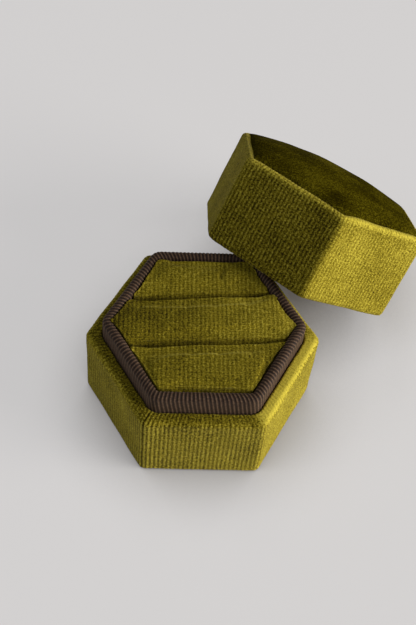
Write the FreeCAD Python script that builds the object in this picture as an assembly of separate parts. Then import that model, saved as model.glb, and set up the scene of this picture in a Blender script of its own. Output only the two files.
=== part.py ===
import FreeCAD, Part
import math
import os
from FreeCAD import Placement, Rotation, Vector

# Hexagonal ring box: a velvet base with a ribbon collar round three pads, and a lift-off lid.
# Millimetres. The origin is the centre of the base's underside, +Z is up, and two sides face -Y and +Y.
# A hexagon's size is its centre-to-side distance, here called its reach.

# Outline and heights
across_flats = 46.8        # outside the velvet, between opposite sides
corner_radius = 2.0        # upright corners of the base and the lid
shoulder_height = 21.7     # table to the ledge that meets the lid's rim
collar_rise = 5.3          # crest of the collar above the ledge
collar_corner_radius = 0.6 # inside the collar; outlines further out run parallel to it
lid_height = 21.8          # rim to the fold round the closed face
lid_crown = 3.0            # swell of the padded closed face above that fold

# Sheet stock and glued layers
velvet = 0.6
ribbon = 0.5
wall_board = 1.8
panel_board = 2.0
collar_board = 1.3
ceiling_card = 1.0
glue_line = 0.05           # gap between glued layers

# Soft edges of the velvet over square-cut board
shoulder_round = 1.2       # outer edge of the ledge
closed_face_round = 1.2    # fold round the lid's closed face
fold_margin = 0.4          # flat of that fold, outside the swell
hem_round = 0.9            # under the base
rim_round = 1.3            # outer edge of the lid's rim

# Widths of what is turned in or tucked away
hem_width = 5.0
hem_corner_radius = 1.2
turn_in = 7.0              # velvet down the inside of the base wall
ribbon_tuck = 5.0          # ribbon below the ledge
rim_turn_in = 3.0          # velvet down the inside of the lid wall

# Fits
collar_clearance = 0.1     # collar inside the turned-in velvet
lid_clearance = 0.3        # lid over the collar
pad_clearance = 0.1        # pads inside the collar
sheet_clearance = 0.2      # underside sheet inside the hem, ceiling card inside the lining
overrun = 1.0              # cuts run this far past the faces they open

# Cushion
bed_thickness = 8.0
pad_rise = 0.3             # crowns of the pads above the collar's crest
pad_crown = 0.4            # rise of a crown from slot to middle
pad_end_drop = 0.3         # crowns fall this much towards the ends of a slot
pad_edge_radius = 1.3      # lips along the slots and round the collar
pad_corner_radius = 3.0
slot_gap = 0.5
slot_draw_in = 0.1         # slot sides pull back this much at mid length
front_slot_place = -5.1    # slots, from the centre, square to their length
rear_slot_place = 7.7
slot_skew = 3.8            # degrees
lip_facets = 4             # flats that make a rounded lip, and those that make a crown
crown_facets = 6

# How the lid lies: one side of its rim on the table, the opposite side hooked over a corner of the collar
lid_azimuth = 50.9         # degrees, the way its axis leans
lid_side_offset = 0.3      # along the side on the table
lid_hook = 1.5             # inner edge of the rim, past the middle of the collar's corner
lid_rest_clearance = 0.2   # that edge above the collar

# Largest share that a rounded edge may take: of a corner's radius, of a skin's thickness, of the collar's width
round_limit_share = 0.95
skin_limit_share = 3.0
crest_round_share = 0.48

# Reaches, from the outside in
half_angle = math.radians(30)
outer = across_flats / 2
board_face = outer - velvet - glue_line
base_board_inside = board_face - wall_board
ledge_inside = base_board_inside - glue_line - velvet
collar_outside = ledge_inside - collar_clearance
frame_outside = collar_outside - ribbon - glue_line
frame_inside = frame_outside - collar_board
collar_inside = frame_inside - glue_line - ribbon
pad_reach = collar_inside - pad_clearance
lid_inside = collar_outside + lid_clearance
lid_board_inside = lid_inside + velvet + glue_line
board_depth = velvet + glue_line

# Heights in the base
board_low = board_depth
board_high = shoulder_height - board_depth
floor_top = board_low + panel_board
collar_top = shoulder_height + collar_rise
frame_top = collar_top - ribbon - glue_line
ribbon_low = shoulder_height - ribbon_tuck
bed_top = floor_top + glue_line + bed_thickness
pad_low = bed_top + glue_line
pad_top = collar_top + pad_rise

# Heights in the lid, from its closed face
lid_board_high = lid_height - board_depth
lid_floor_top = board_low + panel_board
lining_high = lid_height - rim_turn_in - glue_line
card_low = lid_floor_top + glue_line
ceiling_top = card_low + ceiling_card + glue_line + velvet


def collar_corner(reach):
    """Corner radius of an outline that runs alongside the collar."""
    return collar_corner_radius + reach - collar_inside


def wall_corner(reach):
    """Corner radius of an outline that runs alongside the outer walls."""
    return corner_radius + reach - outer


def hexagon(reach, radius, height):
    """Hexagon with arcs at its corners, two of its sides square to Y."""
    centre_distance = (reach - radius) / math.cos(half_angle)
    edges = []
    starts = []
    ends = []
    for corner in range(6):
        angle = 2 * half_angle * corner
        centre = Vector(centre_distance * math.cos(angle), centre_distance * math.sin(angle), height)
        start, middle, end = [centre + Vector(radius * math.cos(turn), radius * math.sin(turn), 0)
                              for turn in (angle - half_angle, angle, angle + half_angle)]
        starts.append(start)
        ends.append(end)
        edges.append(Part.Arc(start, middle, end).toShape())
    for corner in range(6):
        edges.append(Part.LineSegment(ends[corner], starts[(corner + 1) % 6]).toShape())
    return Part.Wire(Part.__sortEdges__(edges))


def prism(reach, radius, low, high):
    face = Part.Face(hexagon(reach, radius, low))
    return face.extrude(Vector(0, 0, high - low))


def tube(outside, outside_corner, inside, inside_corner, low, high):
    solid = prism(outside, outside_corner, low, high)
    return solid.cut(prism(inside, inside_corner, low - overrun, high + overrun))


def round_outline(solid, height, radius):
    """Round every edge that lies in the level plane at this height."""
    tolerance = glue_line / 10
    rim = [edge for edge in solid.Edges
           if abs(edge.BoundBox.ZMin - height) < tolerance and abs(edge.BoundBox.ZMax - height) < tolerance]
    return solid.makeFillet(radius, rim)


def soft_edge(radius, skin, corner):
    """Radius of a skin's outer edge, within what its thickness and the corners of its outline allow."""
    return min(radius, skin_limit_share * skin, round_limit_share * corner)


def velvet_box(high, low_round, high_round):
    """Hollow box of velvet, soft edged outside and square inside, over board walls."""
    box = prism(outer, corner_radius, 0, high)
    box = round_outline(box, high, soft_edge(high_round, velvet, corner_radius))
    box = round_outline(box, 0, soft_edge(low_round, velvet, corner_radius))
    inside = outer - velvet
    return box.cut(prism(inside, wall_corner(inside), velvet, high - velvet))


def base_velvet_cover():
    """One skin: hem, six sides, ledge, and the strip turned down inside the wall."""
    skin = velvet_box(shoulder_height, hem_round, shoulder_round)
    skin = skin.cut(prism(outer - hem_width, hem_corner_radius, -overrun, board_low))
    skin = skin.cut(prism(ledge_inside, collar_corner(ledge_inside), board_high, shoulder_height + overrun))
    strip_outside = ledge_inside + velvet
    strip = tube(strip_outside, collar_corner(strip_outside), ledge_inside, collar_corner(ledge_inside),
                 shoulder_height - turn_in, shoulder_height - velvet)
    return skin.fuse(strip).removeSplitter()


def base_wall_band():
    return tube(board_face, wall_corner(board_face), base_board_inside, collar_corner(base_board_inside),
                board_low, board_high)


def base_floor_board():
    reach = base_board_inside - glue_line
    return prism(reach, collar_corner(reach), board_low, floor_top)


def base_underside_sheet():
    return prism(outer - hem_width - sheet_clearance, hem_corner_radius, 0, velvet)


def collar_frame():
    return tube(frame_outside, collar_corner(frame_outside), frame_inside, collar_corner(frame_inside),
                floor_top + glue_line, frame_top)


def collar_ribbon():
    """Ribbon folded over the frame, with a fully rounded crest."""
    fold = tube(collar_outside, collar_corner(collar_outside), collar_inside, collar_corner(collar_inside),
                ribbon_low, collar_top)
    crest = min(crest_round_share * (collar_outside - collar_inside), skin_limit_share * ribbon)
    fold = round_outline(fold, collar_top, crest)
    room_outside = frame_outside + glue_line
    room_inside = frame_inside - glue_line
    return fold.cut(tube(room_outside, collar_corner(room_outside), room_inside, collar_corner(room_inside),
                         ribbon_low - overrun, frame_top + glue_line))


def cushion_bed():
    reach = frame_inside - pad_clearance
    return prism(reach, collar_corner(reach), floor_top + glue_line, bed_top)


def pad_section(station, low_side, high_side, low, top, edge):
    """Upright section of a pad across its slots, in flats: straight sides, lips and a crown between them."""
    half = (high_side - low_side) / 2
    centre = (high_side + low_side) / 2
    crown_radius = (half ** 2 + pad_crown ** 2) / (2 * pad_crown)
    crown_level = top - crown_radius
    lip_offset = half - edge
    lip_level = crown_level + math.sqrt((crown_radius - edge) ** 2 - lip_offset ** 2)
    lean = math.asin(lip_offset / (crown_radius - edge))

    quarter = math.pi / 2
    lip = []
    for facet in range(lip_facets + 1):
        turn = quarter + (lean - quarter) * facet / lip_facets
        lip.append((lip_offset + edge * math.sin(turn), lip_level + edge * math.cos(turn)))
    crown = []
    for facet in range(1, crown_facets):
        turn = lean * (1 - 2 * facet / crown_facets)
        crown.append((-crown_radius * math.sin(turn), crown_level + crown_radius * math.cos(turn)))
    far_side = [(half, low)] + lip
    near_side = [(-across, level) for across, level in far_side]
    outline = near_side + crown + far_side[::-1]
    return Part.makePolygon([Vector(station, centre + across, level) for across, level in outline + outline[:1]])


def pad_form(low_side, high_side, low_draw, high_draw, inset):
    """Crowned pad between two lines across the collar; inset makes the same form for its core."""
    reach = pad_reach - inset
    length = reach / math.cos(half_angle) + overrun
    edge = pad_edge_radius - inset
    low_edge = low_side + inset
    high_edge = high_side - inset
    sections = []
    for station, draw_share in ((-length, 0), (0, 1), (length, 0)):
        sections.append(pad_section(station, low_edge + draw_share * low_draw, high_edge - draw_share * high_draw,
                                    pad_low, pad_top - inset - (1 - draw_share) * pad_end_drop, edge))
    form = Part.makeLoft(sections, True, True)
    form.rotate(Vector(0, 0, 0), Vector(0, 0, 1), slot_skew)
    corner = pad_corner_radius - inset
    well = prism(reach, corner, pad_low - overrun, pad_top - inset)
    return form.common(round_outline(well, pad_top - inset, min(edge, round_limit_share * corner)))


def pad_pieces():
    """Foam core and velvet cover of each pad, from the front of the box to the rear."""
    past_collar = pad_reach + 2 * pad_edge_radius
    half_gap = slot_gap / 2
    spans = {
        "front": (-past_collar, front_slot_place - half_gap, 0, slot_draw_in),
        "middle": (front_slot_place + half_gap, rear_slot_place - half_gap, slot_draw_in, slot_draw_in),
        "rear": (rear_slot_place + half_gap, past_collar, slot_draw_in, 0),
    }
    pieces = {}
    for name, span in spans.items():
        pieces[name + "_pad_velvet"] = pad_form(*span, 0).cut(pad_form(*span, velvet))
        pieces[name + "_pad_foam"] = pad_form(*span, velvet + glue_line)
    return pieces


def swell(inset, high):
    """Padded closed face, of three barrel vaults that meet, up to a height inside the lid; inset gives its layers."""
    reach = outer - soft_edge(closed_face_round, velvet, corner_radius) - fold_margin
    radius = (reach ** 2 + lid_crown ** 2) / (2 * lid_crown)
    length = 2 * across_flats
    form = prism(outer, corner_radius, -lid_crown - overrun, high)
    for side in range(3):
        angle = 2 * half_angle * side
        along = Vector(math.cos(angle), math.sin(angle), 0)
        start = Vector(0, 0, radius - lid_crown) - along * (length / 2)
        form = form.common(Part.makeCylinder(radius - inset, length, start, along))
    return form


def lid_velvet_cover():
    """One skin: padded closed face, six sides, rim, and the strip turned in behind the rim."""
    skin = velvet_box(lid_height, closed_face_round, rim_round).fuse(swell(0, glue_line))
    skin = skin.cut(swell(velvet, board_low))
    skin = skin.cut(prism(lid_inside, collar_corner(lid_inside), lid_board_high, lid_height + overrun))
    strip_outside = lid_inside + velvet
    strip = tube(strip_outside, collar_corner(strip_outside), lid_inside, collar_corner(lid_inside),
                 lid_height - rim_turn_in, lid_height - velvet)
    return skin.fuse(strip).removeSplitter()


def lid_wall_band():
    return tube(board_face, wall_corner(board_face), lid_board_inside, collar_corner(lid_board_inside),
                board_low, lid_board_high)


def lid_top_board():
    reach = lid_board_inside - glue_line
    return prism(reach, collar_corner(reach), board_low, lid_floor_top)


def lid_top_pad():
    """Wadding between the top board and the velvet."""
    return swell(board_low, velvet)


def lid_lining_band():
    outside = lid_inside + velvet
    return tube(outside, collar_corner(outside), lid_inside, collar_corner(lid_inside), card_low, lining_high)


def lid_ceiling_card():
    reach = lid_inside - sheet_clearance - velvet - glue_line
    return prism(reach, collar_corner(reach), card_low, card_low + ceiling_card)


def lid_ceiling_velvet():
    """Velvet over the ceiling card and down its edges."""
    outside = lid_inside - sheet_clearance
    inside = outside - velvet
    skin = prism(outside, collar_corner(outside), card_low, ceiling_top)
    return skin.cut(prism(inside, collar_corner(inside), card_low - overrun, ceiling_top - velvet))


def lid_placement():
    """Turn the lid over and lean it: its rounded rim on the table, the rim's far inner edge on the collar's crest."""
    azimuth = math.radians(lid_azimuth)
    foot_radius = soft_edge(rim_round, velvet, corner_radius)
    span = outer - foot_radius + lid_inside
    rise = collar_top + lid_rest_clearance - foot_radius
    tilt = math.asin(rise / math.hypot(span, foot_radius)) + math.atan2(foot_radius, span)
    sine = math.sin(tilt)
    cosine = math.cos(tilt)
    height = foot_radius + (outer - foot_radius) * sine - foot_radius * cosine

    crest_reach = (collar_outside + collar_inside) / 2
    crest_corner = collar_corner(crest_reach)
    corner_direction = 2 * half_angle
    crest_distance = (crest_reach - crest_corner) / math.cos(half_angle) * math.cos(azimuth - corner_direction)
    distance = crest_distance + crest_corner - lid_hook + lid_inside * cosine

    place = Vector(distance * math.cos(azimuth) - lid_side_offset * math.sin(azimuth),
                   distance * math.sin(azimuth) + lid_side_offset * math.cos(azimuth), height)
    lean = Rotation(Vector(0, 0, 1), lid_azimuth - 90).multiply(Rotation(Vector(1, 0, 0), -math.degrees(tilt)))
    turned_over = Placement(Vector(0, 0, lid_height), Rotation(Vector(1, 0, 0), 180))
    return Placement(place, lean).multiply(turned_over)


def base_pieces():
    makers = (base_velvet_cover, base_wall_band, base_floor_board, base_underside_sheet,
              collar_frame, collar_ribbon, cushion_bed)
    pieces = {maker.__name__: maker() for maker in makers}
    pieces.update(pad_pieces())
    return pieces


def lid_pieces():
    makers = (lid_velvet_cover, lid_wall_band, lid_top_pad, lid_top_board,
              lid_lining_band, lid_ceiling_card, lid_ceiling_velvet)
    pieces = {}
    for maker in makers:
        pieces[maker.__name__] = maker()
        pieces[maker.__name__].Placement = lid_placement()
    return pieces


def main():
    os.makedirs("parts", exist_ok=True)
    for name, shape in {**base_pieces(), **lid_pieces()}.items():
        shape.exportStep("parts/" + name + ".step")
        box = shape.BoundBox
        print(name, len(shape.Solids), shape.isValid(), round(shape.Volume, 1),
              round(box.ZMin, 3), round(box.ZMax, 3))


main()
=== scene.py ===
import math

import bmesh
import bpy
from mathutils import Matrix, Vector, noise


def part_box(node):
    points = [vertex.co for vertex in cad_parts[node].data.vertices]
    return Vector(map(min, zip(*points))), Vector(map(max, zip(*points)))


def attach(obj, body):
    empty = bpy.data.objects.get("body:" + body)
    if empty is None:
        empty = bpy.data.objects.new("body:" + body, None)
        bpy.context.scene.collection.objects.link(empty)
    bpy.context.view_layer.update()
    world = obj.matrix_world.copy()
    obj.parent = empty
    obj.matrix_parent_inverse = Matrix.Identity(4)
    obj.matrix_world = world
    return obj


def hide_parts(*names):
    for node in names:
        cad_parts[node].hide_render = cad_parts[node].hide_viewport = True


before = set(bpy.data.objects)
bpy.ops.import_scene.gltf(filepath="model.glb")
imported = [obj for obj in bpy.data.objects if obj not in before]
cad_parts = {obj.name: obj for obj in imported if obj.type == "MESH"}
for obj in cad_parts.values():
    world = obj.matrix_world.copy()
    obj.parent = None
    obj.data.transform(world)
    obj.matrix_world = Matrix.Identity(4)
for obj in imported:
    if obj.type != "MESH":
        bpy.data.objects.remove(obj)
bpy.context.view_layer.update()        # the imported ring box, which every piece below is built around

scene = bpy.context.scene
scene.view_settings.view_transform = "Standard"

mm = 0.001
side = math.radians(60)          # turn from one side of the hexagon to the next
tiny = 1e-9                      # keeps divisions off zero
edgeSlack = 0.1 * mm             # how near a section's outer line a point still counts as on it


# sizes read from the frame

baseLow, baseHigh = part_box("base_velvet_cover")
collarLow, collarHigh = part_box("collar_ribbon")
bedLow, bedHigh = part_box("cushion_bed")
sheetLow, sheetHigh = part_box("base_underside_sheet")

outer = (baseHigh.y - baseLow.y) / 2            # centre to a side
shoulder = baseHigh.z                           # height of the ledge
collarOut = (collarHigh.y - collarLow.y) / 2
collarTop = collarHigh.z


# shader helpers

class Shade:
    def __init__(self, tree, socket=None):
        self.tree = tree
        self.socket = socket

    def node(self, kind, settings=None, inputs=None, out=0):
        made = self.tree.nodes.new(kind)
        for name, value in (settings or {}).items():
            if name == "stops":
                ramp = made.color_ramp
                while len(ramp.elements) < len(value):
                    ramp.elements.new(0.5)
                for element, (place, colour) in zip(ramp.elements, value):
                    element.position = place
                    element.color = (*colour, 1)
            else:
                setattr(made, name, value)
        for name, value in (inputs or {}).items():
            target = made.inputs[name]
            if isinstance(value, Shade):
                self.tree.links.new(value.socket, target)
            else:
                target.default_value = value
        return Shade(self.tree, made.outputs[out] if made.outputs else None)

    def sums(self, operation, *values):
        return self.node("ShaderNodeMath", {"operation": operation}, dict(enumerate(values)))

    def __add__(self, other):
        return self.sums("ADD", self, other)

    def __radd__(self, other):
        return self.sums("ADD", other, self)

    def __sub__(self, other):
        return self.sums("SUBTRACT", self, other)

    def __rsub__(self, other):
        return self.sums("SUBTRACT", other, self)

    def __mul__(self, other):
        return self.sums("MULTIPLY", self, other)

    def __rmul__(self, other):
        return self.sums("MULTIPLY", other, self)

    def __pow__(self, other):
        return self.sums("POWER", self, other)

    def __abs__(self):
        return self.sums("ABSOLUTE", self)

    def fraction(self):
        return self.sums("FRACT", self)

    def clipped(self):
        return self.node("ShaderNodeClamp", None, {"Value": self})

    def ramp(self, *stops):
        return self.node("ShaderNodeValToRGB", {"stops": stops}, {"Fac": self})

    def part(self, index):
        return self.node("ShaderNodeSeparateXYZ", None, {"Vector": self}, out=index)


def startFinish(name):
    finish = bpy.data.materials.new(name)
    finish.use_nodes = True
    finish.node_tree.nodes.clear()
    return finish, Shade(finish.node_tree)


def endFinish(shade, surface):
    shade.node("ShaderNodeOutputMaterial", None, {"Surface": surface})


def grain(shade, place, scale, detail=2.0, rough=0.5):
    return shade.node("ShaderNodeTexNoise", {"noise_dimensions": "3D"},
                      {"Vector": place, "Scale": scale, "Detail": detail, "Roughness": rough})


def objectPlace(shade):
    return shade.node("ShaderNodeTexCoord", None, None, out="Object")


def clothPlace(shade):
    return shade.node("ShaderNodeUVMap", {"uv_map": "cloth"})


def stretched(shade, place, across, along):
    return shade.node("ShaderNodeMapping", None, {"Vector": place, "Scale": (across, along, 1)})


def ridge(turns):
    # 0 between ribs, 1 on a rib
    return 1 - abs(turns.fraction() * 2 - 1)


def bumped(shade, look, height):
    return shade.node("ShaderNodeBump", None,
                      {"Strength": look["bump"], "Distance": look["depth"], "Height": height})


def seenStraight(shade):
    # 1 for what the camera sees, straight, mirrored or through something clear, 0 for other light
    rays = [shade.node("ShaderNodeLightPath", None, None, out=name)
            for name in ("Is Camera Ray", "Is Glossy Ray", "Is Transmission Ray")]
    return (rays[0] + rays[1] + rays[2]).clipped()


# olive velvet with fine ribs, as pile over a woven back

velvetLook = {
    # deep is reached in the grooves and where painted shade is laid on, tip where painted light is laid on
    "deep": (0.024, 0.017, 0.001), "body": (0.215, 0.165, 0.009), "tip": (0.640, 0.520, 0.060),
    "bodyAt": 0.45, "tone": 0.42,
    "crest": 0.42, "loop": 0.18, "tuft": 0.74, "speck": 1.9, "patch": 0.45,        # shares in the tone; the crest share paints shade between the ribs
    "crestHigh": 0.25, "loopHigh": 0.2, "tuftHigh": 0.3, "speckHigh": 0.8,         # shares in the bump
    "tuftStretch": (1.5, 1.1), "tuftRough": 0.6, "loopRate": 1.35, "loopStray": 2,
    "speckScale": 3600, "patchScale": 110, "patchRough": 0.55, "wearAndLightSpeck": 0.4,
    "sheen": 0.45, "sheenRough": 0.40, "sheenTint": (0.62, 0.53, 0.14, 1),
    "rough": 0.9, "roughVary": 0.1, "gloss": 0.04, "bump": 0.6, "depth": 0.10 * mm,
}
padLook = {**velvetLook, "crest": 0.22, "loop": 0.14, "tuft": 0.5, "speck": 1.2}   # finer, on the cushion
brushedAndShadedLook = {                   # pile brushed the other way and painted shade, a darker copy of the velvet, on the lid's padded top
    **velvetLook,
    # darker colours than the velvet: painted shade on the padded top
    "deep": (0.010, 0.007, 0.0005), "body": (0.046, 0.036, 0.001), "tip": (0.170, 0.138, 0.008),
    "crest": 0.05, "loop": 0.08, "patch": 1.1, "gloss": 0,
    "sheen": 0.05, "sheenRough": 0.15, "sheenTint": (0.50, 0.47, 0.22, 1),
}


def velvetFinish(name, look):
    finish, shade = startFinish(name)
    cloth, place = clothPlace(shade), objectPlace(shade)
    crest = ridge(cloth.part(0))
    tuft = grain(shade, stretched(shade, cloth, *look["tuftStretch"]), 1.0, 2.0, look["tuftRough"])
    loop = ridge(cloth.part(1) * look["loopRate"] + tuft * look["loopStray"])      # tufts along a rib
    speck = grain(shade, place, look["speckScale"], 1.0)
    patch = grain(shade, place, look["patchScale"], 3.0, look["patchRough"])
    # nap is the pile's lie with painted light and shade laid into the tone
    napAndLightTone, worn = [shade.node("ShaderNodeAttribute", {"attribute_name": layer}, None, out="Fac")
                     for layer in ("nap", "worn")]
    # ribs lighter and the lines between them darker: the weave's pattern with painted shade in the grooves
    ribbed = (crest - 0.5) * look["crest"] + (loop - 0.5) * look["loop"] + (tuft - 0.5) * look["tuft"]
    # worn takes the painted rib shade away, for wear and where light falls flat
    tone = (ribbed * (1 - worn) + (speck - 0.5) * look["speck"] * (1 - worn * look["wearAndLightSpeck"])
            + (patch - 0.5) * look["patch"] + napAndLightTone + look["tone"]).clipped()
    colour = tone.ramp((0.0, look["deep"]), (look["bodyAt"], look["body"]), (1.0, look["tip"]))
    height = (crest * look["crestHigh"] + loop * look["loopHigh"] + tuft * look["tuftHigh"]
              + speck * look["speckHigh"])
    endFinish(shade, shade.node("ShaderNodeBsdfPrincipled", None, {
        "Base Color": colour, "Roughness": look["rough"] - tuft * look["roughVary"],
        "Normal": bumped(shade, look, height),
        "Specular IOR Level": look["gloss"], "Sheen Weight": look["sheen"],
        "Sheen Roughness": look["sheenRough"], "Sheen Tint": look["sheenTint"]}))
    return finish


# dark brown ribbon with corded ribs, with painted highlight on the cords' tops and painted shade in the
# grooves

ribbonLook = {
    # groove is painted shade; worn, the cords' tops, is wear with painted highlight
    "groove": (0.006, 0.003, 0.002), "cord": (0.050, 0.025, 0.013), "worn": (0.165, 0.103, 0.062),
    "cordAt": 0.55, "tone": 0.04,
    "crest": 0.95, "crestPower": 1.6, "thread": 1.2, "speck": 0.7, "threadHigh": 0.7, "speckHigh": 0.3,
    "threadStretch": (1.0, 9.0), "speckScale": 2600,
    "rough": 0.62, "roughVary": 0.15, "gloss": 0.15, "bump": 0.5, "depth": 0.06 * mm,
    "sheen": 0.20, "sheenTint": (0.5, 0.36, 0.26, 1),
}


def ribbonFinish(name, look):
    finish, shade = startFinish(name)
    cloth, place = clothPlace(shade), objectPlace(shade)
    crest = ridge(cloth.part(0))
    thread = grain(shade, stretched(shade, cloth, *look["threadStretch"]), 1.0)
    speck = grain(shade, place, look["speckScale"])
    # the crest raised to a power gives thin painted highlights on the cords
    tone = ((crest ** look["crestPower"]) * look["crest"] + (thread - 0.5) * look["thread"]
            + (speck - 0.5) * look["speck"] + look["tone"]).clipped()
    height = thread * look["threadHigh"] + speck * look["speckHigh"]
    endFinish(shade, shade.node("ShaderNodeBsdfPrincipled", None, {
        "Base Color": tone.ramp((0.0, look["groove"]), (look["cordAt"], look["cord"]), (1.0, look["worn"])),
        "Roughness": look["rough"] + speck * look["roughVary"], "Normal": bumped(shade, look, height),
        "Specular IOR Level": look["gloss"], "Sheen Weight": look["sheen"],
        "Sheen Tint": look["sheenTint"]}))
    return finish


# grey pressed board and pale foam, which only show when the box is taken apart

boardLook = {
    "pale": (0.50, 0.48, 0.44), "dark": (0.30, 0.285, 0.26), "paleAt": 0.62, "darkAt": 0.3,
    "fleck": 0.7, "fibre": 0.3, "fleckHigh": 0.6, "fibreHigh": 0.4,
    "fleckScale": 900, "fleckDetail": 5.0, "fleckRough": 0.65, "fibreStretch": (500, 2600),
    "rough": 0.95, "roughVary": 0.15, "gloss": 0.2, "bump": 0.3, "depth": 0.08 * mm,
}
foamLook = {
    "pale": (0.66, 0.63, 0.55), "dark": (0.34, 0.32, 0.27), "paleAt": 0.7, "darkAt": 0.1,
    "pore": 1.1, "cloud": 0.3, "poreScale": 1700, "cloudScale": 240,
    "rough": 0.98, "roughVary": 0.1, "gloss": 0.1, "bump": 0.8, "depth": 0.2 * mm,
}


def boardFinish(name, look):
    finish, shade = startFinish(name)
    place = objectPlace(shade)
    fleck = grain(shade, place, look["fleckScale"], look["fleckDetail"], look["fleckRough"])
    fibre = grain(shade, stretched(shade, place, *look["fibreStretch"]), 1.0)
    height = fleck * look["fleckHigh"] + fibre * look["fibreHigh"]
    tone = (fleck * look["fleck"] + fibre * look["fibre"]).clipped()
    endFinish(shade, shade.node("ShaderNodeBsdfPrincipled", None, {
        "Base Color": tone.ramp((look["darkAt"], look["dark"]), (look["paleAt"], look["pale"])),
        "Roughness": look["rough"] - fleck * look["roughVary"], "Normal": bumped(shade, look, height),
        "Specular IOR Level": look["gloss"]}))
    return finish


def foamFinish(name, look):
    finish, shade = startFinish(name)
    place = objectPlace(shade)
    pore = shade.node("ShaderNodeTexVoronoi", {"feature": "F1"},
                      {"Vector": place, "Scale": look["poreScale"]})
    cloud = grain(shade, place, look["cloudScale"], 3.0)
    tone = (pore * look["pore"] + cloud * look["cloud"]).clipped()
    endFinish(shade, shade.node("ShaderNodeBsdfPrincipled", None, {
        "Base Color": tone.ramp((look["darkAt"], look["dark"]), (look["paleAt"], look["pale"])),
        "Roughness": look["rough"] - pore * look["roughVary"], "Normal": bumped(shade, look, pore),
        "Specular IOR Level": look["gloss"]}))
    return finish


velvet = velvetFinish("olive_velvet", velvetLook)
padVelvet = velvetFinish("olive_velvet_fine", padLook)
brushedAndShadedVelvet = velvetFinish("olive_velvet_brushed_painted_shade", brushedAndShadedLook)
ribbon = ribbonFinish("brown_ribbon", ribbonLook)
board = boardFinish("grey_board", boardLook)
foam = foamFinish("pale_foam", foamLook)
print("finishes ready")


# hexagon, section and wrap helpers

def unit(value):
    return min(max(value, 0), 1)


def vertsIn(geom):
    return [part for part in geom if isinstance(part, bmesh.types.BMVert)]


def edgesIn(geom):
    return [part for part in geom if isinstance(part, bmesh.types.BMEdge)]


def outlinePoint(share, reach, corner):
    # share runs once round, from the middle of the side that faces -Y
    half = (reach - corner) * math.tan(side / 2)
    arc = corner * side
    index, along = divmod(share * 6 * (2 * half + arc), 2 * half + arc)
    facing = index * side - math.pi / 2
    turned = min(max(along - half, 0), arc)
    angle = facing + turned / corner
    over = along - half - turned
    return Vector((math.cos(facing) * (reach - corner) - math.sin(facing) * half
                   + math.cos(angle) * corner - math.sin(angle) * over,
                   math.sin(facing) * (reach - corner) + math.cos(facing) * half
                   + math.sin(angle) * corner + math.cos(angle) * over, 0))


def drawSection(corners, shows, fine, coarse, segments=5):
    # corners are (reach, height, round) in order, as a closed line; returns its points in order
    wire = bmesh.new()
    points = [wire.verts.new((reach, 0, height)) for reach, height, _ in corners]
    start = points[0].co.copy()
    ahead = points[1].co.copy()
    for a, b in zip(points, points[1:] + points[:1]):
        wire.edges.new((a, b))
    for point, (_, _, bend) in zip(points, corners):
        if bend:
            bmesh.ops.bevel(wire, geom=[point], offset=bend, affect="VERTICES",
                            segments=segments, profile=0.5, material=-1)
    for edge in wire.edges[:]:
        middle = (edge.verts[0].co + edge.verts[1].co) / 2
        cuts = int(edge.calc_length() / (fine if shows(middle.x, middle.z) else coarse))
        if cuts:
            bmesh.ops.subdivide_edges(wire, edges=[edge], cuts=cuts)
    vert = min(wire.verts, key=lambda v: (v.co - start).length)
    edge = min(vert.link_edges, key=lambda e: (e.other_vert(vert).co - ahead).length)
    ordered = []
    for _ in range(len(wire.verts)):
        ordered.append((vert.co.x, vert.co.z))
        vert = edge.other_vert(vert)
        edge = [e for e in vert.link_edges if e != edge][0]
    wire.free()
    return ordered


def wrapHexagon(section, cornerAt, columns):
    # a ring at the section's first point, extruded from point to point and closed on itself
    bm = bmesh.new()
    share, run = bm.verts.layers.float.new("share"), bm.verts.layers.float.new("run")
    ring = bmesh.ops.create_circle(bm, segments=columns, radius=section[0][0])["verts"]
    for index, vert in enumerate(ring):
        vert[share] = index / columns
    first = edges = bm.edges[:]
    travelled, last = 0, section[0]
    for reach, height in section:
        travelled += math.hypot(reach - last[0], height - last[1])
        if last != section[0] or (reach, height) != section[0]:
            grown = bmesh.ops.extrude_edge_only(bm, edges=edges)["geom"]
            ring, edges = vertsIn(grown), edgesIn(grown)
        for vert in ring:
            vert.co = outlinePoint(vert[share], reach, cornerAt(reach)) + Vector((0, 0, height))
            vert[run] = travelled
        last = (reach, height)
    bmesh.ops.bridge_loops(bm, edges=first + edges)
    bmesh.ops.recalc_face_normals(bm, faces=bm.faces)
    return bm


def mapWrap(bm, ribs, pitch, slant=0):
    # one unit of the map is one rib, round the box and along the cloth
    share, run = bm.verts.layers.float["share"], bm.verts.layers.float["run"]
    cloth = bm.loops.layers.uv.new("cloth")
    for face in bm.faces:
        turns = [loop.vert[share] for loop in face.loops]
        seam = max(turns) - min(turns) > 0.5
        for loop, turn in zip(face.loops, turns):
            along = loop.vert[run] / pitch
            loop[cloth].uv = ((turn + (seam and turn < 0.5)) * ribs - along * slant, along)


def hexReach(point):
    return max(abs(point.y), abs(point.x) * math.cos(side / 2) + abs(point.y) / 2)


def wobble(point, size):
    return noise.noise(point / size)


def napLift(point, phase, weave):
    # how far the pile stands off the cloth's outer face, mostly below it
    crest = abs(math.sin(math.pi * phase)) ** weave["ribPower"]
    depth = weave["depth"] * (weave["depthMean"] + weave["depthVary"] * wobble(point, weave["depthSize"]))
    return (depth * (crest - 1) + weave["pile"] * wobble(point, weave["pileSize"])
            + weave["soft"] * (wobble(point, weave["softSize"]) - 0.5))


def addPiece(name, bm, finishes, body, slot, *nodes):
    for vert in bm.verts:
        vert.co.z = max(vert.co.z, 0)               # pile lies flat on the table
    mesh = bpy.data.meshes.new(name)
    bm.to_mesh(mesh)
    bm.free()
    mesh.shade_smooth()
    for finish in finishes:
        mesh.materials.append(finish)
    piece = bpy.data.objects.new(name, mesh)
    scene.collection.objects.link(piece)
    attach(piece, body)
    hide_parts(*nodes)
    return piece


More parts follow.
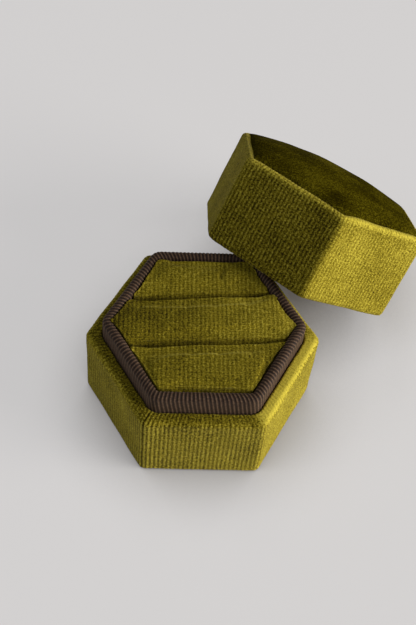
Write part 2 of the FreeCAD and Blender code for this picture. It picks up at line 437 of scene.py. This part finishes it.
def cutPanel(reach, corner, step, pitch, spare=1.01):
    # a grid a little larger than the hexagon and cut to it, its columns in line with the ribs
    bm = bmesh.new()
    wide = reach / math.cos(side / 2)
    bmesh.ops.create_grid(bm, x_segments=int(2 * wide / step[0]),
                          y_segments=int(2 * reach / step[1]), size=1)
    bmesh.ops.scale(bm, vec=(wide * spare, reach * spare, 1), verts=bm.verts)
    for index in range(6):
        facing = index * side - math.pi / 2
        normal = Vector((math.cos(facing), math.sin(facing), 0))
        bmesh.ops.bisect_plane(bm, geom=bm.verts[:] + bm.edges[:] + bm.faces[:],
                               plane_co=normal * reach, plane_no=normal, clear_outer=True)
    for index in range(6):
        toward = Vector((math.cos(index * side), math.sin(index * side), 0))
        pivot = toward * (reach - corner) / math.cos(side / 2)
        for vert in bm.verts:
            arm = vert.co - pivot
            if arm.length > corner and abs(arm.angle(pivot)) < side / 2:
                vert.co = pivot + arm * corner / arm.length
    cloth = bm.loops.layers.uv.new("cloth")
    for face in bm.faces:
        for loop in face.loops:
            loop[cloth].uv = (loop.vert.co.x / pitch, loop.vert.co.y / pitch)
    return bm


def closeFaceDown(bm, thickness):
    # closes a panel with a flat back and turns it over
    for vert in vertsIn(bmesh.ops.extrude_face_region(bm, geom=bm.faces[:])["geom"]):
        vert.co.z = -thickness
    bmesh.ops.recalc_face_normals(bm, faces=bm.faces)
    bmesh.ops.rotate(bm, verts=bm.verts, cent=(0, 0, 0), matrix=Matrix.Rotation(math.pi, 3, "X"))


# base cover: hem under the box, six sides, ledge and the strip that turns down inside

velvetWeave = {
    "pitch": 0.96 * mm, "samples": 5, "ribPower": 0.8,
    "depth": 0.05 * mm, "depthMean": 0.85, "depthVary": 0.45, "depthSize": 1.4 * mm,
    "pile": 0.058 * mm, "pileSize": 0.36 * mm, "soft": 0.16 * mm, "softSize": 7 * mm,
}
paintSpread = {
    "blendFrom": 0.44, "blendWide": 0.06,           # where one side's painted tone turns into the next one's
    "highlightMean": 0.8, "highlightVary": 0.8, "highlightSize": 0.5 * mm,
}
baseCover = {
    "cloth": 0.6 * mm, "corner": 2.0 * mm, "ledgeCorner": 3.1 * mm, "ledgeIn": 20.3 * mm,
    "hem": 5.0 * mm, "hemRound": 0.9 * mm, "shoulderRound": 1.3 * mm, "ledgeRound": 0.5 * mm,
    "turnIn": 7.0 * mm, "fine": 0.36 * mm, "coarse": 2.5 * mm, "slope": 0.2 * mm,
    "ledgeNapAndLight": (-0.12, 0.60, 0.20, -0.10, -0.10, -0.14),    # how the pile lies on the ledge, side by side, with painted light on the right sides and painted shade on the others
    # ledgeWearAndLight and sideWearAndLight even out the painted rib shade, for wear and where light falls
    # flat
    "ledgeWearAndLight": (0.55,) * 6, "ledgeFade": 0.8 * mm, "ledgeFrom": 1.5,
    # sideNapAndLight paints light on the right faces
    "sideNapAndLight": (-0.02, 0.10, 0.06, 0, 0, 0), "sideWearAndLight": (0, 0.2, 0.2, 0.1, 0.4, 0.4),
    # foldHighlight paints a highlight along the shoulder fold, side by side
    "foldHighlight": (0.10, 0.10, 0.10, 0.10, 0.30, 0.34), "foldIn": 0.4 * mm, "foldWide": 1.1 * mm,
    "openAt": 5.5, "openNapAndLight": 0.26, "openRibs": 2.2,         # ribs stand apart at the front left corner, painted lighter on the ribs with painted shade between them
}


def ribCount(reach, corner, pitch):
    return round(6 * (2 * (reach - corner) * math.tan(side / 2) + corner * side) / pitch)


def ribbedWrap(section, cornerAt, ribs, weave, shows):
    bm = wrapHexagon(section, cornerAt, ribs * weave["samples"])
    share = bm.verts.layers.float["share"]
    bm.normal_update()
    lifts = [(vert, vert.normal.copy(), napLift(vert.co, vert[share] * ribs, weave))
             for vert in bm.verts if shows(vert)]
    for vert, normal, lift in lifts:
        vert.co += normal * lift
    mapWrap(bm, ribs, weave["pitch"])
    return bm


def paintSides(bm, naps, amount, layer="nap"):
    # how the pile lies with painted light and shade, or how smooth it is worn with how flat the light
    # falls, side by side, blended at the corners
    share = bm.verts.layers.float["share"]
    nap = bm.verts.layers.float.get(layer) or bm.verts.layers.float.new(layer)
    for vert in bm.verts:
        place = vert[share] * 6
        here = round(place)
        there = here + (1 if place > here else -1)
        blend = unit((abs(place - here) - paintSpread["blendFrom"]) / paintSpread["blendWide"]) / 2
        vert[nap] += amount(vert) * (naps[here % 6] * (1 - blend) + naps[there % 6] * blend)


def patchyHighlight(point):
    return paintSpread["highlightMean"] + paintSpread["highlightVary"] * wobble(point, paintSpread["highlightSize"])


def highlightFold(bm, naps, reach, height, wide):
    # painted highlight along a fold, patchy where the pile stands open
    def amount(vert):
        away = math.hypot(hexReach(vert.co) - reach, vert.co.z - height) / wide
        return max(1 - away, 0) * patchyHighlight(vert.co)

    paintSides(bm, naps, amount)


def makeBaseCover(s, weave):
    cloth, hemIn, low = s["cloth"], outer - s["hem"], shoulder - s["turnIn"]
    inner = outer - cloth
    corners = [(hemIn, 0, 0), (outer, 0, s["hemRound"]), (outer, shoulder - s["slope"], s["shoulderRound"]),
               (s["ledgeIn"], shoulder, s["ledgeRound"]), (s["ledgeIn"], low, 0),
               (s["ledgeIn"] + cloth, low, 0), (s["ledgeIn"] + cloth, shoulder - cloth, 0),
               (inner, shoulder - cloth, 0), (inner, cloth, 0), (hemIn, cloth, 0)]

    def shown(reach, height):
        return reach > inner + edgeSlack or height > shoulder - cloth + edgeSlack

    def onLedge(vert):
        return unit((vert.co.z - shoulder) / s["ledgeFade"] + s["ledgeFrom"])

    section = drawSection(corners, shown, s["fine"], s["coarse"])
    bend = (s["ledgeCorner"] - s["corner"]) / (outer - s["ledgeIn"])
    ribs = ribCount(outer, s["corner"], weave["pitch"])
    bm = ribbedWrap(section, lambda reach: s["corner"] + (outer - reach) * bend, ribs, weave,
                    lambda vert: shown(hexReach(vert.co), vert.co.z))
    paintSides(bm, s["ledgeNapAndLight"], onLedge)
    paintSides(bm, s["sideNapAndLight"], lambda vert: 1 - onLedge(vert))
    paintSides(bm, s["ledgeWearAndLight"], onLedge, "worn")
    paintSides(bm, s["sideWearAndLight"], lambda vert: 1 - onLedge(vert), "worn")
    highlightFold(bm, s["foldHighlight"], outer - s["foldIn"], shoulder - s["foldIn"], s["foldWide"])
    share, nap = bm.verts.layers.float["share"], bm.verts.layers.float["nap"]
    # painted light on the ribs and painted shade between them, fading away from the front left corner
    for vert in bm.verts:
        away = (vert[share] - s["openAt"] / 6) * ribs
        if away > -1 and vert.co.z < shoulder:
            vert[nap] -= s["openNapAndLight"] * math.cos(math.tau * away) * math.exp(-abs(away) / s["openRibs"])
    piece = addPiece("base_cover", bm, [velvet], "base", "velvet", "base_velvet_cover")


makeBaseCover(baseCover, velvetWeave)
print("base cover done")


# velvet sheet under the base, inside the hem

underSheet = {"corner": 1.0 * mm, "step": (0.35 * mm, 1.2 * mm), "borderLift": 0.4, "thinner": 0.2 * mm}


def makeUnderSheet(s, weave):
    reach = (sheetHigh.y - sheetLow.y) / 2
    bm = cutPanel(reach, s["corner"], s["step"], weave["pitch"])
    border = {vert for edge in bm.edges if edge.is_boundary for vert in edge.verts}
    for vert in bm.verts:
        lift = napLift(vert.co, vert.co.x / weave["pitch"], weave)
        vert.co.z += lift * (s["borderLift"] if vert in border else 1)
    closeFaceDown(bm, sheetHigh.z - sheetLow.z - s["thinner"])
    bmesh.ops.translate(bm, verts=bm.verts, vec=(0, 0, sheetLow.z))
    piece = addPiece("underside_sheet", bm, [velvet], "base", "velvet", "base_underside_sheet")


makeUnderSheet(underSheet, velvetWeave)
print("underside sheet done")


# collar: corded ribbon folded over the thin band

collarRibbon = {
    "cloth": 0.5 * mm, "inside": 17.8 * mm, "insideCorner": 0.6 * mm, "crest": 1.15 * mm,
    "pitch": 0.90 * mm, "samples": 6, "cord": 0.17 * mm, "cordPower": 0.75,
    "thread": 0.03 * mm, "threadSize": 0.5 * mm,
    "slant": 0.15,               # the ribbon is wrapped a little askew
    "fine": 0.45 * mm, "coarse": 3.0 * mm,
}


def makeCollar(s):
    low, cloth, inside = collarLow.z, s["cloth"], s["inside"]
    corners = [(inside, low, 0), (inside, collarTop, s["crest"]), (collarOut, collarTop, s["crest"]),
               (collarOut, low, 0), (collarOut - cloth, low, 0), (collarOut - cloth, collarTop - cloth, 0),
               (inside + cloth, collarTop - cloth, 0), (inside + cloth, low, 0)]
    section = drawSection(corners, lambda reach, height: height > shoulder, s["fine"], s["coarse"])
    ribs = ribCount(collarOut, s["insideCorner"] + collarOut - inside, s["pitch"])
    bm = wrapHexagon(section, lambda reach: s["insideCorner"] + reach - inside, ribs * s["samples"])
    share, run = bm.verts.layers.float["share"], bm.verts.layers.float["run"]
    bm.normal_update()
    moves = []
    for vert in bm.verts:
        phase = vert[share] * ribs - vert[run] / s["pitch"] * s["slant"]
        cord = abs(math.sin(math.pi * phase)) ** s["cordPower"]
        lift = s["cord"] * (cord - 1) + s["thread"] * wobble(vert.co, s["threadSize"])
        moves.append(vert.normal * lift)
    for vert, move in zip(bm.verts, moves):
        vert.co += move
    mapWrap(bm, ribs, s["pitch"], s["slant"])
    piece = addPiece("collar_cord_ribbon", bm, [ribbon], "base", "ribbon", "collar_ribbon")


makeCollar(collarRibbon)
print("collar done")


# cushion: a foam bed and three stuffed pads with a slot between each pair

bedForm = {
    "round": 0.8 * mm, "roundSteps": 3, "longest": 4 * mm, "cuts": 9,
    "cells": 0.08 * mm, "cellSize": 1.3 * mm,
}
padForm = {
    "grow": 20,                  # cloth runs at a larger scale, where its defaults suit
    "weld": 0.001 * mm, "voxel": 8 * mm, "pressure": 4.0, "frames": 20,
    "start": 0.42 * mm, "most": 0.28 * mm,       # outside the foam at the start, and the most it swells
    "wall": 17.75 * mm, "wallNear": 0.6 * mm,    # the collar's inside, and how near a pad's side is to it
    "slotFacing": 0.99, "bins": 360, "fullPower": 3,
    "brim": 1.35 * mm, "brimRise": 3, "brimFrom": 0.3,         # fuller edges
    # lipHighlight paints a highlight along the back lips, slotShade paints shade where the fronts go down
    # into the slots
    "lip": 0.4 * mm, "lipPower": 3, "lipHighlight": 0.30, "lipRise": 3, "lipFrom": 0.3,
    "slotShade": -0.06, "slotRise": 2, "slotFrom": 0.5,
    "ease": 1, "easeShare": 0.5, "plain": 0.6,
    # padNapAndLight is the pile's tone with painted light growing toward the right, pad by pad
    "padNapAndLight": {"front_pad": (-0.04, 0.02), "middle_pad": (-0.06, 0.16), "rear_pad": (0.0, 0.02)},
}


def makeBed(s):
    bm = bmesh.new()
    reach = (bedHigh.y - bedLow.y) / 2
    bmesh.ops.create_circle(bm, segments=6, radius=reach / math.cos(side / 2), cap_ends=True)
    bmesh.ops.translate(bm, verts=bm.verts, vec=(0, 0, bedLow.z))
    grown = bmesh.ops.extrude_face_region(bm, geom=bm.faces[:])["geom"]
    bmesh.ops.translate(bm, verts=vertsIn(grown), vec=(0, 0, bedHigh.z - bedLow.z))
    bmesh.ops.recalc_face_normals(bm, faces=bm.faces)
    bmesh.ops.bevel(bm, geom=bm.edges[:], offset=s["round"], affect="EDGES",
                    segments=s["roundSteps"], profile=0.5, material=-1)
    bmesh.ops.triangulate(bm, faces=bm.faces[:])
    longEdges = [edge for edge in bm.edges if edge.calc_length() > s["longest"]]
    bmesh.ops.subdivide_edges(bm, edges=longEdges, cuts=s["cuts"], use_grid_fill=True)
    bm.normal_update()
    for vert in bm.verts:
        vert.co -= vert.normal * s["cells"] * (0.5 + 0.5 * wobble(vert.co, s["cellSize"]))
    piece = addPiece("foam_bed", bm, [foam], "base", "foam", "cushion_bed")


def startPad(name, s):
    bm = bmesh.new()
    bm.from_mesh(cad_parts[name + "_foam"].data)
    bmesh.ops.remove_doubles(bm, verts=bm.verts, dist=s["weld"])
    bmesh.ops.scale(bm, vec=(s["grow"],) * 3, verts=bm.verts)
    mesh = bpy.data.meshes.new(name + "_start")
    bm.to_mesh(mesh)
    bm.free()
    pad = bpy.data.objects.new(name + "_start", mesh)
    scene.collection.objects.link(pad)
    remesh = pad.modifiers.new("remesh", "REMESH")
    remesh.mode, remesh.voxel_size = "VOXEL", s["voxel"]
    bpy.context.view_layer.update()
    pad.data = bpy.data.meshes.new_from_object(pad.evaluated_get(bpy.context.evaluated_depsgraph_get()))
    pad.modifiers.clear()
    facings = [vert.normal.copy() for vert in pad.data.vertices]
    for vert, facing in zip(pad.data.vertices, facings):
        vert.co += facing * s["start"] * s["grow"]
    return pad


def swellPads(pads, s):
    for pad in pads:
        cloth = pad.modifiers.new("swell", "CLOTH")
        cloth.settings.use_pressure = True
        cloth.settings.uniform_pressure_force = s["pressure"]
        cloth.settings.effector_weights.gravity = 0
        cloth.point_cache.frame_start, cloth.point_cache.frame_end = 1, s["frames"]
    for moment in range(1, s["frames"] + 1):
        scene.frame_set(moment)
    graph = bpy.context.evaluated_depsgraph_get()
    for pad in pads:
        swollen = pad.evaluated_get(graph).data
        ends = [vert.co.copy() for vert in swollen.vertices]
        pad.modifiers.clear()
        for vert, end in zip(pad.data.vertices, ends):
            move = end - vert.co
            most = s["most"] * s["grow"]
            vert.co += move * min(1, most / max(move.length, tiny))
    scene.frame_set(1)


def squarePad(bm, name, s):
    # carries the rounded edges out to the collar and the slots
    crest = collarRibbon["crest"]
    centre = sum((vert.co for vert in bm.verts), Vector()) / len(bm.verts)
    walls = []
    for index in range(6):
        facing = Vector((math.sin(index * side), -math.cos(index * side), 0))
        if max(vert.co.dot(facing) for vert in bm.verts) > s["wall"] - s["wallNear"]:
            walls.append((facing, s["wall"]))
    for way in (1, -1):
        flat = sum((vert.normal for vert in bm.verts if vert.normal.y * way > s["slotFacing"]), Vector())
        facing = Vector((flat.x, flat.y, 0)).normalized()
        walls.append((facing, max(vert.co.dot(facing) for vert in bm.verts)))
    low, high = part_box(name + "_velvet")
    for vert in bm.verts:                            # each back lip stands over the next pad's front lip
        across = (vert.co.y - centre.y) * 2 / (high.y - low.y)
        steep = s["lip"] * abs(across) ** s["lipPower"] * (vert.co.z - low.z) / (high.z - low.z)
        if across > 0 and name != "rear_pad":
            vert.co.z += steep
        elif across < 0 and name != "front_pad":
            vert.co.z -= steep
    arms = [(vert, (vert.co - centre) * Vector((1, 1, 0))) for vert in bm.verts]
    spots = [int((math.atan2(arm.y, arm.x) / math.tau % 1) * s["bins"]) for _, arm in arms]
    widest = [0] * s["bins"]
    for spot, (_, arm) in zip(spots, arms):
        for near in (spot - 1, spot, (spot + 1) % s["bins"]):
            widest[near] = max(widest[near], arm.length)
    for spot, (vert, arm) in zip(spots, arms):
        up = vert.normal.z
        vert.co.z += s["brim"] * (1 - up) * unit(up * s["brimRise"] - s["brimFrom"])
        rise = min(max(vert.co.z - collarTop + crest, 0), crest)
        over = crest - math.sqrt(crest ** 2 - rise ** 2)       # how far the collar's crest curves away
        limit = min((far + over * (far == s["wall"]) - facing.dot(centre)) * arm.length
                    / max(facing.dot(arm), tiny) for facing, far in walls)
        full = min(arm.length / widest[spot], 1) ** s["fullPower"]
        vert.co += arm * (limit / widest[spot] - 1) * full


def finishPad(pad, name, s, weave):
    divide = pad.modifiers.new("divide", "SUBSURF")
    divide.levels = divide.render_levels = 1
    bpy.context.view_layer.update()
    smooth = bpy.data.meshes.new_from_object(pad.evaluated_get(bpy.context.evaluated_depsgraph_get()))
    bpy.data.objects.remove(pad)
    low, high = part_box(name + "_velvet")
    bm = bmesh.new()
    bm.from_mesh(smooth)
    bmesh.ops.scale(bm, vec=(1 / s["grow"],) * 3, verts=bm.verts)
    bm.normal_update()
    squarePad(bm, name, s)
    for _ in range(s["ease"]):
        bmesh.ops.smooth_vert(bm, verts=bm.verts, factor=s["easeShare"],
                              use_axis_x=True, use_axis_y=True, use_axis_z=True)
    bm.normal_update()
    nap, (level, slope) = bm.verts.layers.float.new("nap"), s["padNapAndLight"][name]
    # painted highlight on the back lips, painted shade into the slots and painted light across the pad
    for vert in bm.verts:
        back = vert.normal.y
        lip = unit(back * s["lipRise"] - s["lipFrom"]) * s["lipHighlight"] * (name != "rear_pad")
        slot = unit(-back * s["slotRise"] - s["slotFrom"]) * s["slotShade"] * (name != "front_pad")
        vert[nap] = level + slope * vert.co.x / s["wall"] + lip * patchyHighlight(vert.co) + slot
    cloth = bm.loops.layers.uv.new("cloth")
    for face in bm.faces:
        for loop in face.loops:
            point, facing = loop.vert.co, loop.vert.normal
            drop = (high.z - point.z) * (1 if facing.y > 0 else -1)
            loop[cloth].uv = (point.x / weave["pitch"], (point.y + drop) / weave["pitch"])
    plain = {**weave, "depth": weave["depth"] * s["plain"], "pile": weave["pile"] * s["plain"]}
    moves = []
    for vert in bm.verts:
        shown = (1 - vert.normal.x ** 2) * unit(vert.normal.z + 1)
        moves.append(vert.normal * napLift(vert.co, vert.co.x / weave["pitch"], plain) * shown)
    for vert, move in zip(bm.verts, moves):
        vert.co += move
        vert.co.z = max(vert.co.z, low.z)
    piece = addPiece(name, bm, [padVelvet], "base", "velvet", name + "_velvet", name + "_foam")


makeBed(bedForm)
padNames = ("front_pad", "middle_pad", "rear_pad")
pads = [startPad(name, padForm) for name in padNames]
print("pads remeshed:", [len(pad.data.vertices) for pad in pads])
swellPads(pads, padForm)
for pad, name in zip(pads, padNames):
    finishPad(pad, name, padForm, velvetWeave)
print("cushion done")


# lid: cover, padded top, lining and the velvet inside its closed end,
# built with the closed face at the origin and then laid where the lid leans

lidForm = {
    "height": 21.8 * mm, "corner": 2.0 * mm, "cloth": 0.6 * mm, "boardMiddle": 1.65 * mm,
    "closedRound": 1.2 * mm, "rimRound": 1.35 * mm, "inside": 20.5 * mm, "insideCorner": 3.3 * mm,
    "turnIn": 3.0 * mm, "marginIn": 2.6 * mm, "fine": 0.36 * mm, "coarse": 2.5 * mm,
    "panelStep": (0.2625 * mm, 0.8 * mm), "lap": 0.25 * mm,
    # sideNapAndLight paints shade on the near faces and light on the right face
    "sideNapAndLight": (-0.11, -0.06, 0, 0, 0, 0.13), "sideWearAndLight": (0.1, 0.3, 0.1, 0, 0.1, 0.5),
    # foldHighlight paints a highlight along the lid's fold
    "foldHighlight": (0.42, 0.12, 0, 0, 0, 0.40), "foldIn": 0.4 * mm, "foldWide": 1.3 * mm,
    "droop": 0.2 * mm, "droopFar": 8 * mm, "droopWide": 0.16, "droopIn": 0.8,      # corners give way
    "crown": 3.1 * mm, "swellPower": 0.45, "topDepth": 0.3,
    "topIn": 1.5 * mm, "topCorner": 2.2 * mm, "topStep": (0.2625 * mm, 0.3 * mm),
    "sink": 0.35 * mm, "sinkWidth": 0.45 * mm,      # the padded top rolls down into the fold
    "liningLow": 2.7 * mm, "liningHigh": 18.75 * mm, "liningFine": 1.5, "liningDepth": 0.2,
    "endReach": 20.3 * mm, "endCorner": 3.1 * mm, "endTop": 4.35 * mm, "endSkirt": 1.6 * mm,
    "weld": 0.002 * mm,
}


def lidPlace(s):
    # the lid's own frame: closed face at the origin, opening along +Z
    boardMid = sum(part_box("lid_top_board"), Vector()) / 2
    liningMid = sum(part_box("lid_lining_band"), Vector()) / 2
    opening = (liningMid - boardMid).normalized()
    across = Vector((opening.y, -opening.x, 0)).normalized()
    turn = Matrix((across, opening.cross(across), opening)).transposed().to_4x4()
    return Matrix.Translation(boardMid - opening * s["boardMiddle"]) @ turn


def makeLidCover(s, weave):
    cloth, top, inside = s["cloth"], s["height"], s["inside"]
    inner, edge = outer - cloth, outer - s["marginIn"]
    corners = [(edge, 0, 0), (outer, 0, s["closedRound"]), (outer, top, s["rimRound"]),
               (inside, top, s["rimRound"]), (inside, top - s["turnIn"], 0),
               (inside + cloth, top - s["turnIn"], 0), (inside + cloth, top - cloth, 0),
               (inner, top - cloth, 0), (inner, cloth, 0), (edge, cloth, 0)]

    def shown(reach, height):
        return (reach > inner + edgeSlack or reach < inside + edgeSlack
                or height > top - cloth + edgeSlack or height < edgeSlack)

    section = drawSection(corners, shown, s["fine"], s["coarse"])
    bend = (s["insideCorner"] - s["corner"]) / (outer - inside)
    ribs = ribCount(outer, s["corner"], weave["pitch"])
    bm = ribbedWrap(section, lambda reach: s["corner"] + (outer - reach) * bend, ribs, weave,
                    lambda vert: shown(hexReach(vert.co), vert.co.z))
    paintSides(bm, s["sideNapAndLight"], lambda vert: 1)
    paintSides(bm, s["sideWearAndLight"], lambda vert: 1, "worn")
    highlightFold(bm, s["foldHighlight"], outer - s["foldIn"], s["foldIn"], s["foldWide"])
    share = bm.verts.layers.float["share"]
    for vert in bm.verts:
        corner = max(1 - abs(vert[share] * 6 % 1 - 0.5) / s["droopWide"], 0)
        give = s["droop"] * corner ** 2 * max(1 - vert.co.z / s["droopFar"], 0) ** 2
        inward = Vector((-vert.co.x, -vert.co.y, 0)).normalized()
        vert.co += inward * give * s["droopIn"] + Vector((0, 0, give))
    bmesh.ops.transform(bm, matrix=lidPlace(s), verts=bm.verts)
    piece = addPiece("lid_cover", bm, [velvet], "lid", "velvet", "lid_velvet_cover")


def makeLidTop(s, weave):
    # a wadded panel inside the fold, highest in the middle
    reach = outer - s["topIn"]
    bm = cutPanel(reach, s["topCorner"], s["topStep"], weave["pitch"])
    plain = {**weave, "depth": weave["depth"] * s["topDepth"]}
    facings = [Vector((math.sin(index * side), math.cos(index * side), 0)) for index in range(3)]
    for vert in bm.verts:
        swell = 1
        for facing in facings:
            swell *= max(1 - (vert.co.dot(facing) / reach) ** 2, 0)
        roll = math.exp((hexReach(vert.co) - reach) / s["sinkWidth"])
        lift = napLift(vert.co, vert.co.x / weave["pitch"], plain)
        vert.co.z = s["crown"] * swell ** s["swellPower"] - s["sink"] * roll + lift * (1 - roll)
    closeFaceDown(bm, s["cloth"])
    bmesh.ops.transform(bm, matrix=lidPlace(s), verts=bm.verts)
    piece = addPiece("lid_top_cushion", bm, [brushedAndShadedVelvet], "lid", "velvet", "lid_top_pad")


def makeLining(s, weave):
    cloth, inside = s["cloth"], s["inside"]
    high = s["liningHigh"] + s["lap"]                       # tucked under the strip that turns in
    corners = [(inside, s["liningLow"], 0), (inside, s["liningHigh"] - s["lap"], 0),
               (inside + s["lap"], high, 0), (inside + cloth, high, 0), (inside + cloth, s["liningLow"], 0)]
    section = drawSection(corners, lambda reach, height: reach < inside + edgeSlack,
                          s["fine"] * s["liningFine"], s["coarse"])
    ribs = ribCount(inside, s["insideCorner"], weave["pitch"])
    plain = {**weave, "depth": weave["depth"] * s["liningDepth"]}
    bm = ribbedWrap(section, lambda reach: s["insideCorner"] + reach - inside, ribs, plain,
                    lambda vert: True)
    bmesh.ops.transform(bm, matrix=lidPlace(s), verts=bm.verts)
    piece = addPiece("lid_lining", bm, [velvet], "lid", "velvet", "lid_lining_band")


def makeLidEnd(s, weave):
    bm = cutPanel(s["endReach"], s["endCorner"], s["panelStep"], weave["pitch"])
    border = [edge for edge in bm.edges if edge.is_boundary]
    for vert in bm.verts:
        vert.co.z += napLift(vert.co, vert.co.x / weave["pitch"], weave)
    within = 1 - s["cloth"] / s["endReach"]
    under = bmesh.ops.duplicate(bm, geom=bm.verts[:] + bm.edges[:] + bm.faces[:])["geom"]
    for vert in vertsIn(under):
        vert.co = (vert.co.x * within, vert.co.y * within, -s["cloth"])
    for scale, height in ((1, -s["endSkirt"]), (within, -s["endSkirt"]), (1, -s["cloth"])):
        grown = bmesh.ops.extrude_edge_only(bm, edges=border)["geom"]
        for vert in vertsIn(grown):
            vert.co = (vert.co.x * scale, vert.co.y * scale, height)
        border = [edge for edge in edgesIn(grown) if edge.is_boundary]
    bmesh.ops.remove_doubles(bm, verts=bm.verts, dist=s["weld"])
    bmesh.ops.recalc_face_normals(bm, faces=bm.faces)
    bmesh.ops.translate(bm, verts=bm.verts, vec=(0, 0, s["endTop"]))
    bmesh.ops.transform(bm, matrix=lidPlace(s), verts=bm.verts)
    piece = addPiece("lid_end_velvet", bm, [velvet], "lid", "velvet", "lid_ceiling_velvet")


makeLidCover(lidForm, velvetWeave)
makeLidTop(lidForm, velvetWeave)
makeLining(lidForm, velvetWeave)
makeLidEnd(lidForm, velvetWeave)
print("lid done")


# boards keep their own solids and get the pressed board finish

for name in ("base_wall_band", "base_floor_board", "collar_frame",
             "lid_wall_band", "lid_top_board", "lid_ceiling_card"):
    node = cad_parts[name]
    node.data.materials.clear()
    node.data.materials.append(board)
print("boards done")


# studio: pale table, one large soft light low on the right, a weak cool fill, camera

studio = {
    "size": 3.0, "cells": 8, "drop": 0.05 * mm, "floor": (0.80, 0.785, 0.775),
    "seen": (0.22, 0.213, 0.21), "seenAt": 0.8, "dim": 0.985, "dimAt": 0.2, "cloudScale": 40,
    "glow": (0.92, 0.90, 0.895), "glowAt": 0.86, "glowStrength": 0.57,
    "shade": (0.055, 0.045, 0.035), "shadeAt": 0.2, "shadeFar": 0.038,     # painted shadow, darker where the box is near
    "rough": 0.9, "roughVary": 0.05, "gloss": 0.1,
    "world": (0.86, 0.90, 1.0), "worldStrength": 0.10, "paleStrength": 0.75,
}
windowLight = {
    "toward": (0.94, -0.24, 0.26), "far": 1.50, "size": 1.1, "power": 35, "colour": (1.0, 0.975, 0.93),
}
fillLight = {
    "toward": (-0.70, -0.20, 0.70), "far": 0.90, "size": 0.7, "power": 1.7, "colour": (0.90, 0.94, 1.0),
}
photoCamera = {
    "place": (-14.859 * mm, -143.608 * mm, 235.817 * mm), "aim": (1.2378 * mm, 7.4938 * mm, 20.0 * mm),
    "roll": 6.4585, "lens": 65.366, "sensor": 36, "near": 0.01, "far": 20,
}


def makeFloor(s):
    bm = bmesh.new()
    bmesh.ops.create_grid(bm, x_segments=s["cells"], y_segments=s["cells"], size=s["size"] / 2)
    mesh = bpy.data.meshes.new("table")
    bm.to_mesh(mesh)
    bm.free()
    finish, shade = startFinish("pale_table")
    cloud = grain(shade, objectPlace(shade), s["cloudScale"])
    lit = shade.node("ShaderNodeBsdfPrincipled", None, {
        "Base Color": (*s["floor"], 1), "Roughness": s["rough"], "Specular IOR Level": s["gloss"]})
    # painted shadow: the table's glow is darkened by occlusion near the box
    boxShadow = shade.node("ShaderNodeAmbientOcclusion", None, {"Distance": s["shadeFar"]}, out="AO")
    dimmed = tuple(channel * s["dim"] for channel in s["seen"])
    shown = shade.node("ShaderNodeBsdfPrincipled", None, {
        "Base Color": cloud.ramp((s["dimAt"], dimmed), (s["seenAt"], s["seen"])),
        "Roughness": s["rough"] - cloud * s["roughVary"], "Specular IOR Level": s["gloss"],
        "Emission Color": boxShadow.ramp((s["shadeAt"], s["shade"]), (s["glowAt"], s["glow"])),
        "Emission Strength": s["glowStrength"]})
    endFinish(shade, shade.node("ShaderNodeMixShader", None, {0: seenStraight(shade), 1: lit, 2: shown}))
    mesh.materials.append(finish)
    floor = bpy.data.objects.new("table", mesh)
    floor.location.z = -s["drop"]
    scene.collection.objects.link(floor)


def makeLight(name, s):
    lamp = bpy.data.lights.new(name, "AREA")
    lamp.shape, lamp.size, lamp.energy, lamp.color = "DISK", s["size"], s["power"], s["colour"]
    light = bpy.data.objects.new(name, lamp)
    toward = Vector(s["toward"])
    light.location = toward.normalized() * s["far"]
    light.rotation_euler = toward.to_track_quat("Z", "Y").to_euler()
    scene.collection.objects.link(light)


def makeWorld(s):
    world = bpy.data.worlds.new("room")
    world.use_nodes = True
    world.node_tree.nodes.clear()
    shade = Shade(world.node_tree)
    dim = shade.node("ShaderNodeBackground", None,
                     {"Color": (*s["world"], 1), "Strength": s["worldStrength"]})
    pale = shade.node("ShaderNodeBackground", None,
                      {"Color": (*s["glow"], 1), "Strength": s["paleStrength"]})
    mixed = shade.node("ShaderNodeMixShader", None, {0: seenStraight(shade), 1: dim, 2: pale})
    shade.node("ShaderNodeOutputWorld", None, {"Surface": mixed})
    scene.world = world


def makeCamera(s):
    lens = bpy.data.cameras.new("photo_camera")
    lens.lens, lens.sensor_width, lens.sensor_fit = s["lens"], s["sensor"], "AUTO"
    lens.clip_start, lens.clip_end = s["near"], s["far"]
    camera = bpy.data.objects.new("photo_camera", lens)
    camera.location = s["place"]
    aim = (Vector(s["aim"]) - camera.location).to_track_quat("-Z", "Y").to_matrix()
    camera.rotation_euler = (aim @ Matrix.Rotation(math.radians(s["roll"]), 3, "Z")).to_euler()
    scene.collection.objects.link(camera)
    scene.camera = camera


makeFloor(studio)
makeWorld(studio)
makeLight("window", windowLight)
makeLight("fill", fillLight)
makeCamera(photoCamera)
print("studio done")
